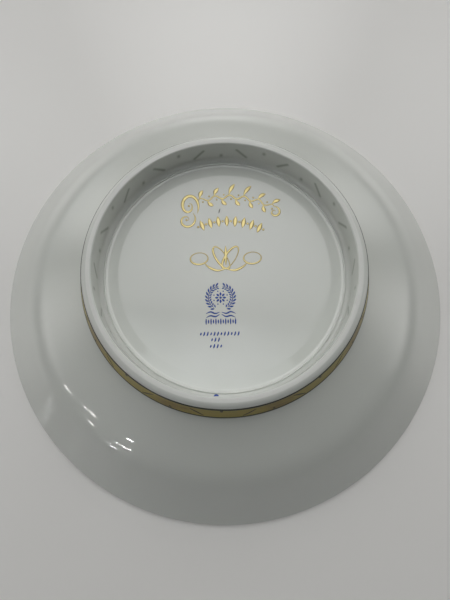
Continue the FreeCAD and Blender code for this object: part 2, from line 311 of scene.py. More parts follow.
def domed(centres, normals, half_widths, heights, sink=0.02 * MM, ahead=None):
    """Rings of a paint stroke: at each centre a flat half ellipse stands on the surface.

    A point of it is centre + side * w cos(p) + normal * h sin(p)^0.8 for p from 0 to 180 degrees,
    where side is square to the stroke and to the surface. Its underside is sink deep. The stroke
    runs ahead, or else from each centre to the next.
    """
    if ahead is None:
        ahead = np.gradient(centres, axis=0)
    side = np.cross(normals, ahead)
    side *= half_widths[:, None] / np.linalg.norm(side, axis=1, keepdims=True)
    up = normals * heights[:, None]
    over = OVER[None, :, None]
    top = centres[:, None] + side[:, None] * np.cos(over) + up[:, None] * np.sin(over) ** 0.8
    under = np.stack([centres - side, centres + side], axis=1) - normals[:, None] * sink
    return np.concatenate([top, under], axis=1)


def swell(count, blunt, lean=0.5):
    """Width of a brush stroke along its length, 0 to 1: it swells most at a share lean along.

    Its ends are round and blunt of the full width.
    """
    t = np.linspace(0, 1, count)
    bent = t ** (math.log(0.5) / math.log(lean))
    body = blunt + (1 - blunt) * np.sin(math.pi * bent) ** 1.1
    tip = np.sqrt(np.clip(1 - np.abs(2 * t - 1) ** 14, 0.02, 1))
    return body * tip


# ---- procedural finishes -----------------------------------------------------------------
class Number:
    """A value in a material: Python's operators on it add Math nodes."""

    def __init__(self, finish, socket):
        self.finish = finish
        self.socket = socket

    def __add__(self, other):
        return self.finish.math("ADD", self, other)

    def __sub__(self, other):
        return self.finish.math("SUBTRACT", self, other)

    def __mul__(self, other):
        return self.finish.math("MULTIPLY", self, other)

    def __rsub__(self, other):
        return self.finish.math("SUBTRACT", other, self)

    __radd__ = __add__
    __rmul__ = __mul__


class Finish:
    """One procedural material."""

    def __init__(self, name):
        self.material = bpy.data.materials.new(name)
        self.material.use_nodes = True
        self.tree = self.material.node_tree
        self.tree.nodes.clear()
        self.place = self.node("ShaderNodeTexCoord").outputs["Object"]

    def node(self, kind, settings=None, inputs=None):
        """A node of a kind: its settings are made first, then its sockets get values or links."""
        made = self.tree.nodes.new(kind)
        for key, value in (settings or {}).items():
            setattr(made, key, value)
        for key, value in (inputs or {}).items():
            self.feed(made.inputs[key], value)
        return made

    def feed(self, socket, value):
        """Link or set one socket."""
        if isinstance(value, Number):
            value = value.socket
        if isinstance(value, bpy.types.NodeSocket):
            self.tree.links.new(value, socket)
        elif socket.type == "RGBA" and len(value) == 3:
            socket.default_value = (*value, 1)
        else:
            socket.default_value = value

    def math(self, operation, *values):
        """One Math node on numbers or values."""
        made = self.node("ShaderNodeMath", {"operation": operation}, dict(enumerate(values)))
        return Number(self, made.outputs[0])

    def noise(self, scale, detail=3.0, stretch=(1, 1, 1)):
        """Cloudy noise, 0 to 1, scale features a metre, stretched along the axes."""
        place = self.node("ShaderNodeMapping", {}, {"Vector": self.place, "Scale": stretch}).outputs[0]
        made = self.node("ShaderNodeTexNoise", {}, {"Vector": place, "Scale": scale, "Detail": detail})
        return Number(self, made.outputs["Fac"])

    def attribute(self, name):
        """A value that the mesh carries at its points."""
        return Number(self, self.node("ShaderNodeAttribute", {"attribute_name": name}).outputs["Fac"])

    def xyz(self):
        """The three parts of the place on the dish."""
        parts = self.node("ShaderNodeSeparateXYZ", {}, {"Vector": self.place})
        return [Number(self, socket) for socket in parts.outputs]

    def step(self, value, low, high):
        """Smooth step from 0 at low to 1 at high."""
        made = self.node(
            "ShaderNodeMapRange",
            {"interpolation_type": "SMOOTHSTEP"},
            {"Value": value, "From Min": low, "From Max": high},
        )
        return Number(self, made.outputs[0])

    def mix(self, share, first, second):
        """Colour that goes from first to second as share goes from 0 to 1."""
        made = self.node("ShaderNodeMix", {"data_type": "RGBA"}, {"Factor": share, "A": first, "B": second})
        return made.outputs["Result"]

    def bump(self, height, distance):
        """Normal of a surface raised by height, 0 to 1, times a distance."""
        inputs = {"Height": height, "Distance": distance}
        return self.node("ShaderNodeBump", {}, inputs).outputs["Normal"]

    def surface(self, inputs):
        """The shader and the output. Returns the finished material."""
        shader = self.node("ShaderNodeBsdfPrincipled", {}, inputs)
        self.node("ShaderNodeOutputMaterial", {}, {"Surface": shader.outputs[0]})
        return self.material


def tinted(shade, factor):
    """Colour made lighter or darker by a factor."""
    return tuple(min(1.0, c * factor) for c in shade)


def sheen(finish):
    """Roughness of the glaze, smeared round the dish."""
    return 0.28 + finish.noise(34, 5.0, (1, 2.2, 1)) * 0.16


def glaze_inputs(finish, base, roughness):
    """What both glazed finishes have in common: a soft sheen under a sharp clear one."""
    ripple = finish.noise(140, 2.0)
    return {
        "Base Color": base,
        "Roughness": roughness,
        "IOR": 1.4,
        "Coat Weight": 1.0,
        "Coat Roughness": 0.028,
        "Coat IOR": 1.5,
        "Subsurface Weight": 0.12,
        "Subsurface Radius": (1.0, 1.05, 1.0),
        "Subsurface Scale": 2.5 * MM,
        "Normal": finish.bump(ripple, 0.006 * MM),
    }


def porcelain_tone(finish, colours):
    """White clay that clouds a little under the glaze."""
    cloud = finish.noise(22, 4.0)
    return finish.mix(cloud, tinted(colours.porcelain, 0.975), tinted(colours.porcelain, 1.025))


def porcelain_finish(colours):
    """Clear-glazed white clay."""
    finish = Finish("white_glazed_porcelain")
    return finish.surface(glaze_inputs(finish, porcelain_tone(finish, colours), sheen(finish)))


def foot_finish(colours):
    """Porcelain whose inside face carries the band's shadow, seen through the clay, as painted shade, with
    bare clay on the crest.
    """
    finish = Finish("foot_porcelain")
    tone = porcelain_tone(finish, colours)
    ghost = finish.attribute("show_through")
    # Painted shade: the band's strokes and dots darken the inside face, as their shadow seen through the
    # clay.
    tone = finish.mix(ghost * 0.95, tone, colours.ghost)
    bare = finish.attribute("bare_clay")
    grain = finish.noise(2600, 2.0)
    tone = finish.mix(bare, tone, finish.mix(grain, tinted(colours.biscuit, 0.93), colours.biscuit))
    inputs = glaze_inputs(finish, tone, sheen(finish) * (1 - bare) + bare * 0.5)
    inputs["Coat Weight"] = 1 - bare
    return finish.surface(inputs)


def ochre_finish(colours, band):
    """Ochre enamel brushed round the foot, warmer inside every second pair of strokes."""
    finish = Finish("ochre_enamel")
    x, y, _ = finish.xyz()
    turn = finish.math("ARCTAN2", y, x)
    pairs = band.motifs / 2
    wave = finish.math("COSINE", turn * pairs - band.dot_turn * pairs)
    warm = finish.step(wave + (finish.noise(420, 3.0) - 0.5) * 1.6, 0.0, 1.2)
    sweep = finish.noise(55, 4.0, (1, 1, 16))
    tone = finish.mix(warm, colours.ochre, colours.brown)
    tone = finish.mix(finish.step(sweep, 0.35, 0.7) * 0.45, tone, tinted(colours.ochre, 1.3))
    thin = finish.step(finish.noise(700, 3.0, (1, 1, 5)), 0.56, 0.72)
    tone = finish.mix(thin * 0.25, tone, tinted(colours.ochre, 0.55))
    return finish.surface(
        {
            "Base Color": tone,
            "Roughness": 0.3 + sweep * 0.15,
            "Specular IOR Level": 0.3,
            "Coat Weight": 0.12,
            "Coat Roughness": 0.08,
            "Normal": finish.bump(sweep, 0.03 * MM),
        }
    )


def stroke_finish(name, shade, pale):
    """Thin dark enamel: paint pooled darker at the edges of a stroke, paler along its middle."""
    finish = Finish(name)
    blot = finish.noise(1300, 3.0)
    edge_dark = finish.attribute("edge_darkening")
    tone = finish.mix(finish.step(blot, 0.35, 0.7), shade, tinted(shade, 1.35))
    tone = finish.mix(edge_dark * pale, tinted(shade, 2.1), tone)
    return finish.surface(
        {
            "Base Color": tone,
            "Roughness": 0.28 + blot * 0.15,
            "Specular IOR Level": 0.3,
            "Coat Weight": 0.1,
            "Coat Roughness": 0.05,
            "Normal": finish.bump(blot, 0.02 * MM),
        }
    )


def gold_finish(colours):
    """Burnished gold over the glaze: brush marks, edges darkened as painted shade, and fine wear."""
    finish = Finish("burnished_gold")
    brushed = finish.noise(900, 3.0, (1, 0.35, 1))
    worn = finish.step(finish.noise(1700, 2.0), 0.62, 0.7)
    edge_dark = finish.attribute("edge_darkening")
    # Painted shade: the gold darkens towards the edges of each stroke.
    tone = finish.mix(edge_dark * 0.9, colours.gold, colours.gold_shaded_edge)
    tone = finish.mix(worn * 0.3, tone, colours.worn_gold)
    return finish.surface(
        {
            "Base Color": tone,
            "Metallic": 1.0,
            "Roughness": 0.22 + brushed * 0.2,
            "Normal": finish.bump(brushed, 0.12 * MM),
        }
    )


def table_finish(colours):
    """Smooth pale table, faintly mottled."""
    finish = Finish("pale_table")
    mottle = finish.noise(9, 5.0)
    tone = finish.mix(mottle, tinted(colours.table, 0.985), tinted(colours.table, 1.015))
    return finish.surface({"Base Color": tone, "Roughness": 0.08 + mottle * 0.06})


def backdrop_finish(colours):
    """Paper backdrop with an even light of its own."""
    finish = Finish("pale_backdrop")
    shade = finish.mix(finish.noise(3, 3.0), tinted(colours.table, 0.5), tinted(colours.table, 0.54))
    return finish.surface({"Base Color": (0, 0, 0), "Emission Color": shade, "Emission Strength": 1.0})


def glow_finish(name, brightness, shade, feather, cloud):
    """Light that glows evenly in its middle, fades over feather of its half width, and clouds a little."""
    finish = Finish(name)
    parts = finish.node("ShaderNodeSeparateXYZ", {}, {"Vector": finish.node("ShaderNodeUVMap").outputs[0]})
    tone = finish.step(finish.noise(7, 3.0), 0.62, 0.3) * cloud + (1 - cloud)
    for k in range(2):
        beside = finish.math("ABSOLUTE", Number(finish, parts.outputs[k]) * 2 - 1)
        tone = tone * finish.step(beside, 1.0, 1.0 - feather)
    return finish.surface(
        {
            "Base Color": (0, 0, 0),
            "Specular IOR Level": 0.0,
            "Emission Color": finish.mix(tone, (0, 0, 0), shade),
            "Emission Strength": brightness,
        }
    )


def carry(piece, name, values):
    """Store one value for each point of a piece's mesh."""
    layer = piece.data.attributes.new(name, "FLOAT", "POINT")
    layer.data.foreach_set("value", np.asarray(values, np.float32))


# ---- clay --------------------------------------------------------------------------------
def bowl_profile(s):
    """Outline of the bowl from the middle of the base, over the flank and lip, to the well."""
    down = np.array([math.cos(s.rim_slope), -math.sin(s.rim_slope)])
    off = np.array([math.sin(s.rim_slope), math.cos(s.rim_slope)])
    lip = np.array([s.rim_radius - s.lip_radius, s.lip_radius])
    outer_lip = lip + (down + off) * s.lip_radius
    inner_lip = lip + (down - off) * s.lip_radius
    bend = outer_lip[0] - (s.bend_height - outer_lip[1]) / math.tan(s.rim_slope)
    lean = (s.rim_slope + s.shoulder_slope) / 2
    bead_inner = s.toe_radius - s.bead_width
    well = s.base_height - s.base_thickness
    centre = 1 * MM
    return rounded_path(
        [
            (centre, s.base_height, 0),
            (bead_inner - s.gutter_width, s.base_height, s.gutter_blend),
            (bead_inner - s.gutter_lowest, s.base_height - s.gutter_depth, s.gutter_round),
            (bead_inner, s.base_height, 0),
            (s.foot_radius, s.base_height, 0),
            (s.foot_radius, s.foot_root, 0),
            (bend, s.bend_height, s.bend_radius),
            (*outer_lip, s.lip_radius),
            (*inner_lip, s.lip_radius),
            (bend - s.flank_thickness * math.sin(lean), s.bend_height - s.flank_thickness * math.cos(lean),
             s.inner_bend_radius),
            (s.well_radius, well, s.well_blend),
            (centre, well, 0),
        ],
        loop=False,
    )


def foot_face(s, height):
    """Outside radius of the foot's flared face at a height."""
    return s.foot_radius - (height - s.foot_root) * math.tan(s.foot_flare)


def foot_run(s, height):
    """Distance along the flared face from the foot's root up to a height."""
    return (height - s.foot_root) / math.cos(s.foot_flare)


def on_foot(s, turn, run, off):
    """Place on the foot's outside at an angle and a run from its root, off the clay, and the normal.

    The run is straight for a length L, and then bends round the shoulder's arc of radius c. The
    normal rises at the flare angle f on the straight, and at f + (run - L) / c on the arc. An arc
    place is its centre plus (c + off) times the normal, and a straight place lies L - run back.
    """
    reach = s.foot_shoulder / math.tan(math.pi / 4 + s.foot_flare / 2)
    straight = foot_run(s, s.foot_top) - reach
    middle = np.array([foot_face(s, s.foot_top) - reach, s.foot_top - s.foot_shoulder])
    beyond = np.clip(run - straight, 0, None)
    rise = s.foot_flare + beyond / s.foot_shoulder + 0 * turn
    back = np.clip(straight - run, 0, None) + 0 * turn
    out, up = np.cos(rise), np.sin(rise)
    radius = middle[0] + (s.foot_shoulder + off) * out + back * math.sin(s.foot_flare)
    height = middle[1] + (s.foot_shoulder + off) * up - back * math.cos(s.foot_flare)
    place = np.stack([radius * np.cos(turn), radius * np.sin(turn), height], axis=-1)
    normal = np.stack([out * np.cos(turn), out * np.sin(turn), up], axis=-1)
    return place, normal


def motif_places(band):
    """Each motif's stroke (angle, lean) and dot (angle, height) round the foot.

    Evenly spaced angles wander by the drift times their cosine about the drift turn.
    """

    def drift(turn):
        return band.drift * np.cos(turn - band.drift_turn)

    for k in range(band.motifs):
        even = 2 * math.pi * k / band.motifs
        beside = even + band.dot_turn
        lean = band.stroke_lean if k % 2 else -band.stroke_lean
        dot_height = band.high_dot if k % 2 else band.low_dot
        yield even + drift(even), lean, beside + drift(beside), dot_height


def show_through(s, band, points):
    """Painted shade on the foot's inside face, 0 to 1: the shadow of the band's strokes and dots, seen
    through the clay.

    A stroke shows as a soft bar: 1 at its line, falling with the square of the distance.
    """
    turn = np.arctan2(points[:, 1], points[:, 0])
    radius = np.hypot(points[:, 0], points[:, 1])
    shade = np.zeros(len(points))

    def round_from(middle):
        return (np.mod(turn - middle + math.pi, 2 * math.pi) - math.pi) * s.foot_radius

    for middle, lean, dot_turn, dot_height in motif_places(band):
        across = round_from(middle)
        rise = points[:, 2] - band.stroke_middle
        along = across * math.sin(-lean) + rise * math.cos(lean)
        beside = across * math.cos(lean) - rise * math.sin(-lean)
        reach = np.clip(np.abs(along) - band.stroke_length * 0.42, 0, None)
        shade = np.maximum(shade, np.exp(-(beside**2 + reach**2) / (0.8 * MM) ** 2))
        across = round_from(dot_turn)
        rise = (points[:, 2] - dot_height) * 0.75
        shade = np.maximum(shade, np.exp(-(across**2 + rise**2) / (0.95 * MM) ** 2))
    inside = np.clip((s.foot_inner + 1.5 * MM - radius) / (1 * MM), 0, 1)
    return shade * inside


class DISH_OT_bowl(bpy.types.Operator):
    """Turn the bowl body and glaze it"""

    bl_idname = "dish.bowl"
    bl_label = "Bowl body"

    def execute(self, context):
        scene = context.scene
        sizes = scene.dish_sizes
        finish = porcelain_finish(scene.dish_colours)
        rings = turned(bowl_profile(sizes), sizes.segments, False)
        build("glazed_bowl", [rings], "bowl_body", finish, CLAY_CREASE)
        return {"FINISHED"}


class DISH_OT_foot(bpy.types.Operator):
    """Turn the foot ring and the bead of slip inside it"""

    bl_idname = "dish.foot"
    bl_label = "Foot ring and bead"

    def execute(self, context):
        scene = context.scene
        s, band = scene.dish_sizes, scene.dish_band
        outline = [
            (s.toe_radius, s.base_height, 0),
            (s.foot_radius, s.base_height, 0),
            (s.foot_radius, s.foot_root, 0),
            (foot_face(s, s.foot_top), s.foot_top, s.foot_shoulder),
            (s.foot_inner, s.foot_top, s.foot_edge),
            (s.foot_inner, s.base_height + s.toe_height, s.cove_radius),
        ]
        profile = rounded_path(outline, loop=True, longest=0.45 * MM)
        foot = build("glazed_foot", [turned(profile, 820, True)], "foot_ring",
                     foot_finish(scene.dish_colours), CLAY_CREASE)
        points = np.empty(3 * len(foot.data.vertices))
        foot.data.vertices.foreach_get("co", points)
        points = points.reshape(-1, 3)
        # Painted shade: the band's shadow, seen through the clay, stored at each point of the foot.
        carry(foot, "show_through", show_through(s, band, points))
        radius = np.hypot(points[:, 0], points[:, 1])
        on_crest = points[:, 2] > s.foot_top - 0.03 * MM
        carry(foot, "bare_clay", on_crest & (radius < s.foot_inner + 2.4 * MM))
        inner, low, round_off = s.toe_radius - s.bead_width, s.base_height - 0.1 * MM, 0.45 * MM
        bead = [
            (inner, low, 0),
            (s.toe_radius, low, 0),
            (s.toe_radius, bead_high.z, round_off),
            (inner, bead_high.z, round_off),
        ]
        rings = turned(rounded_path(bead, loop=True), 720, True)
        glaze = bpy.data.materials["white_glazed_porcelain"]
        build("slip_bead", [rings], "luting_bead", glaze, 60)
        return {"FINISHED"}


# ---- enamel band -------------------------------------------------------------------------
# How much darker each point of one ring of a brush mark is: 1 at its edges, 0 along its middle. On the
# enamels this is pooled paint; on the gilding it is painted shade.
EDGE_DARKENING_RING = np.concatenate([np.abs(np.cos(OVER)) ** 3, [1, 1]])


def foot_stroke(s, turn, height, off, half_width, thickness, count=26, blunt=0.45):
    """Domed stroke on the flared face along smooth angles and heights."""
    line = smooth_line(np.stack([turn, foot_run(s, height)], axis=-1), count)
    centres, normals = on_foot(s, line[:, 0], line[:, 1], off)
    width = swell(count, blunt)
    return domed(centres, normals, half_width * width, thickness * np.sqrt(width)), False


def stroke_piece(name, tubes, node, finish):
    """A piece of several domed strokes that carries how much darker they are at their edges and ends:
    pooled paint on the enamels, painted shade on the gilding.
    """
    piece = build(name, tubes, node, finish, CREASE)
    edge_dark = []
    for rings, loop in tubes:
        edge_dark += [np.tile(EDGE_DARKENING_RING, len(rings)), [] if loop else [1, 1]]
    carry(piece, "edge_darkening", np.concatenate(edge_dark))


class DISH_OT_band(bpy.types.Operator):
    """Lay the ochre ground, the two dark lines, the slanted strokes and the dots"""

    bl_idname = "dish.band"
    bl_label = "Enamel band"

    def execute(self, context):
        scene = context.scene
        s, band, colours = scene.dish_sizes, scene.dish_band, scene.dish_colours
        ochre = ochre_finish(colours, band)
        line_green = stroke_finish("green_line_enamel", colours.line_green, 0.5)
        stroke_brown = stroke_finish("brown_stroke_enamel", colours.stroke_brown, 0.8)

        low, high = lower_line_high.z - 0.15 * MM, upper_line_low.z + 0.1 * MM
        t = np.linspace(0, 2 * math.pi, 720, endpoint=False)
        runs = np.linspace(foot_run(s, low), foot_run(s, high), 12)
        outside = [on_foot(s, t, run, band.ground_thickness)[0] for run in runs]
        inside = [on_foot(s, t, run, -0.05 * MM)[0] for run in runs[::-1]]
        build("ochre_ground", [(np.array(outside + inside), True)], "band_ground", ochre)

        for name, node, line_low, line_high in (
            ("lower_green_line", "band_lower_line", lower_line_low, lower_line_high),
            ("upper_green_line", "band_upper_line", upper_line_low, upper_line_high),
        ):
            middle = foot_run(s, (line_low.z + line_high.z) / 2)
            half = foot_run(s, s.foot_root + (line_high.z - line_low.z) / 2)
            sway = 0.05 * MM * np.sin(5 * t + middle / MM) + 0.03 * MM * np.sin(13 * t)
            wide = half * (0.97 + 0.09 * np.sin(7 * t) + 0.05 * np.sin(23 * t + 2))
            rings = []
            for p in OVER:
                run = middle + sway - wide * math.cos(p)
                rings.append(on_foot(s, t, run, band.line_thickness * math.sin(p) ** 0.7)[0])
            rings += [on_foot(s, t, middle + sway + side * wide, -0.03 * MM)[0] for side in (1, -1)]
            piece = build(name, [(np.array(rings), True)], node, line_green, CREASE)
            carry(piece, "edge_darkening", np.repeat(EDGE_DARKENING_RING, len(t)))

        rng = np.random.default_rng(18)
        strokes, dots = [], []
        for middle, lean, dot_turn, dot_height in motif_places(band):
            reach = band.stroke_length * rng.uniform(0.44, 0.5)
            bow = rng.uniform(-0.35, 0.35) * MM
            share = np.array([-1, 0, 1])
            across = -share * reach * math.sin(lean) + bow * (1 - share**2)
            rise = share * reach * math.cos(lean)
            height = np.clip(band.stroke_middle + rise, low + 0.4 * MM, high - 0.4 * MM)
            half = band.stroke_width / 2 * rng.uniform(0.85, 1.15)
            strokes.append(foot_stroke(s, middle + across / s.foot_radius, height,
                                       band.ground_thickness, half, band.stroke_thickness))
            spot = dot_turn + rng.uniform(-0.2, 0.2) * MM / s.foot_radius
            rise = np.array([-0.5, 0, 0.5]) * band.dot_length * rng.uniform(0.85, 1.1)
            dots.append(foot_stroke(s, spot + 0 * rise, dot_height + rise, band.ground_thickness,
                                    band.dot_width / 2, band.stroke_thickness, 14, 0.8))
        stroke_piece("slanted_strokes", strokes, "band_strokes", stroke_brown)
        stroke_piece("brush_dots", dots, "band_dots", stroke_brown)
        return {"FINISHED"}


# ---- gilding and marks -------------------------------------------------------------------
def on_base(s, x, y):
    """Places on the flat base from arrays x and y, and the normals there."""
    centres = np.column_stack([x, y, np.full(len(x), s.base_height)])
    return centres, np.tile([0.0, 0.0, 1.0], (len(x), 1))


def base_mark(s, spots, width, thickness, blunt=BLUNT, lean=0.5):
    """Domed brush mark on the base through spots (x, y) in metres."""
    spots = np.asarray(spots, float)
    run = np.linalg.norm(np.diff(spots, axis=0), axis=1).sum()
    count = int(np.clip(run / (0.3 * MM), 12, 140))
    share = swell(count, blunt, lean)
    places = on_base(s, *smooth_line(spots, count).T)
    return domed(*places, width / 2 * share, thickness * np.sqrt(share)), False


def bead(s, x, y, radius, thickness):
    """Domed dot: a very short, round brush mark, sqrt(1 - t^2) wide and tall at t along."""
    t = np.linspace(-0.98, 0.98, 13)
    share = np.sqrt(1 - t**2)
    return domed(*on_base(s, x + radius * t, y + 0 * t), radius * share, thickness * share), False


def loop_ring(s, x, y, half_length, half_width, tilt, width, thickness, lead):
    """Domed closed oval: (a cos t, b sin t) turned by tilt, thickest at the angle lead."""
    t = np.linspace(0, 2 * math.pi, 72, endpoint=False)
    u, v = half_length * np.cos(t), half_width * np.sin(t)
    c, d = math.cos(tilt), math.sin(tilt)
    p, q = -half_length * np.sin(t), half_width * np.cos(t)
    ahead = np.column_stack([p * c - q * d, p * d + q * c, 0 * t])
    half = width / 2 * (0.72 + 0.28 * np.cos(t - lead))
    places = on_base(s, x + u * c - v * d, y + u * d + v * c)
    return domed(*places, half, thickness + 0 * t, ahead=ahead), True


def curl(x, y, size, start, turns, narrow=1.0):
    """Spots of a spiral that winds into (x, y) from an angle in degrees, narrow across."""
    t = np.linspace(0, 1, int(10 * abs(turns)) + 3)
    turn = np.radians(start + 360 * turns * t)
    reach = size * (1 - 0.82 * t**0.85)
    return np.column_stack([x + narrow * reach * np.cos(turn), y + reach * np.sin(turn)])


def on_arch(m, radius, along, above):
    """Place along and above an arch of a radius, measured from its top."""
    turn = along / radius
    return np.array([m.arch_centre_x + (radius + above) * math.sin(turn),
                     m.arch_centre_y + (radius + above) * math.cos(turn)])


def arch_mark(s, m, radius, start, end, width, bow=0.0, blunt=BLUNT, lean=0.5):
    """Brush mark between two places on an arch, bowed to one side."""
    a, b = on_arch(m, radius, *start), on_arch(m, radius, *end)
    chord = (b - a) / np.linalg.norm(b - a)
    middle = (a + b) / 2 + bow * np.array([-chord[1], chord[0]])
    return base_mark(s, [a, middle, b], width, m.gilt_thickness, blunt, lean)


class DISH_OT_gilding(bpy.types.Operator):
    """Gild the vine, the leaf row and the knot on the base"""

    bl_idname = "dish.gilding"
    bl_label = "Gilding"

    def execute(self, context):
        scene = context.scene
        s, m = scene.dish_sizes, scene.dish_marks
        gold = gold_finish(scene.dish_colours)
        stroke_piece("gilt_vine", self.vine(s, m), "gilt_scroll", gold)
        stroke_piece("gilt_leaves", self.leaf_row(s, m), "gilt_leaf_row", gold)
        stroke_piece("gilt_loops", self.knot(s, m), "gilt_knot", gold)
        return {"FINISHED"}

    def vine(self, s, m):
        """Wavy stem with leaves on alternate sides, beads across from them, and three curls."""
        start, end, wave, arch = -14.2 * MM, 24 * MM, 7 * MM, m.scroll_radius
        leaves, tall_leaves = 11, (4, 6)

        def stem_height(along):
            return 2.4 * MM + 1 * MM * np.sin(2 * math.pi * (along - start) / wave)

        stem = [on_arch(m, arch, a, stem_height(a)) for a in np.linspace(start, end, 45)]
        marks = [base_mark(s, stem, 0.95 * MM, m.gilt_thickness, 0.7)]
        for i in range(leaves):
            root = start + wave / 2 * (i + 0.35)
            side = 1 if i % 2 == 0 else -1
            tall = (6.6 if i in tall_leaves else 4.4 if side > 0 else 3.6) * MM
            tip = (root + 2.6 * MM, stem_height(root) + side * tall)
            foot = (root, stem_height(root))
            marks.append(arch_mark(s, m, arch, foot, tip, 2.1 * MM, 0.5 * side * MM, 0.15, 0.6))
            beside = on_arch(m, arch, root + 1.2 * MM, foot[1] - side * 2.1 * MM)
            marks.append(bead(s, *beside, 0.5 * MM, m.gilt_thickness))
        for along, above, size, first, turns, narrow, width in (
            (-19, 1.5, 7.4, -35, 1.35, 0.72, 1.75), (-23.5, -5, 5.2, 50, -1.2, 0.95, 1.25),
            (25.2, 0.2, 3.3, 100, -1.2, 1, 1.2),
        ):
            heart = on_arch(m, arch, along * MM, above * MM)
            spots = curl(*heart, size * MM, first, turns, narrow)
            marks.append(base_mark(s, spots, width * MM, m.gilt_thickness, BLUNT, 0.45))
            if along < 0:
                marks.append(bead(s, *heart, 0.6 * MM, m.gilt_thickness))
        return marks

    def leaf_row(self, s, m):
        """Upright lozenge leaves with a bead between each two and at each end."""
        marks = []
        leaves, first, step, reach = 8, -14.7 * MM, 4.2 * MM, 3 * MM
        for i in range(leaves + 1):
            along = first + step * i
            marks.append(bead(s, *on_arch(m, m.row_radius, along, 0), 0.65 * MM, m.gilt_thickness))
            if i < leaves:
                leaf = along + step / 2
                ends = (leaf, -reach), (leaf, reach)
                marks.append(arch_mark(s, m, m.row_radius, *ends, 2.3 * MM, 0, 0.1))
        return marks

    def knot(self, s, m):
        """Two tall ovals crossed over a bud, an oval each side, and a sweep below."""
        x, y = 0.7 * MM, 6.3 * MM
        bud = [(x, y + b * MM) for b in (-3.6, 1.5, 6.6)]
        marks = [base_mark(s, bud, 1.5 * MM, m.gilt_thickness)]
        for side in (-1, 1):
            marks.append(loop_ring(s, x + 13 * side * MM, y, 4.3 * MM, 3 * MM, math.radians(4),
                                   0.95 * MM, m.gilt_thickness, math.radians(250)))
            tilt = math.radians(90 - 32 * side)
            marks.append(loop_ring(s, x + 2.2 * side * MM, y + 0.3 * MM, 6.6 * MM, 2.5 * MM, tilt,
                                   1.15 * MM, m.gilt_thickness, math.radians(90)))
            sweep = (0.2, -5.6), (4.4, -6.2), (8.4, -4.4), (10.6, -2.0)
            spots = [(x + a * side * MM, y + b * MM) for a, b in sweep]
            marks.append(base_mark(s, spots, 1.2 * MM, m.gilt_thickness))
        return marks


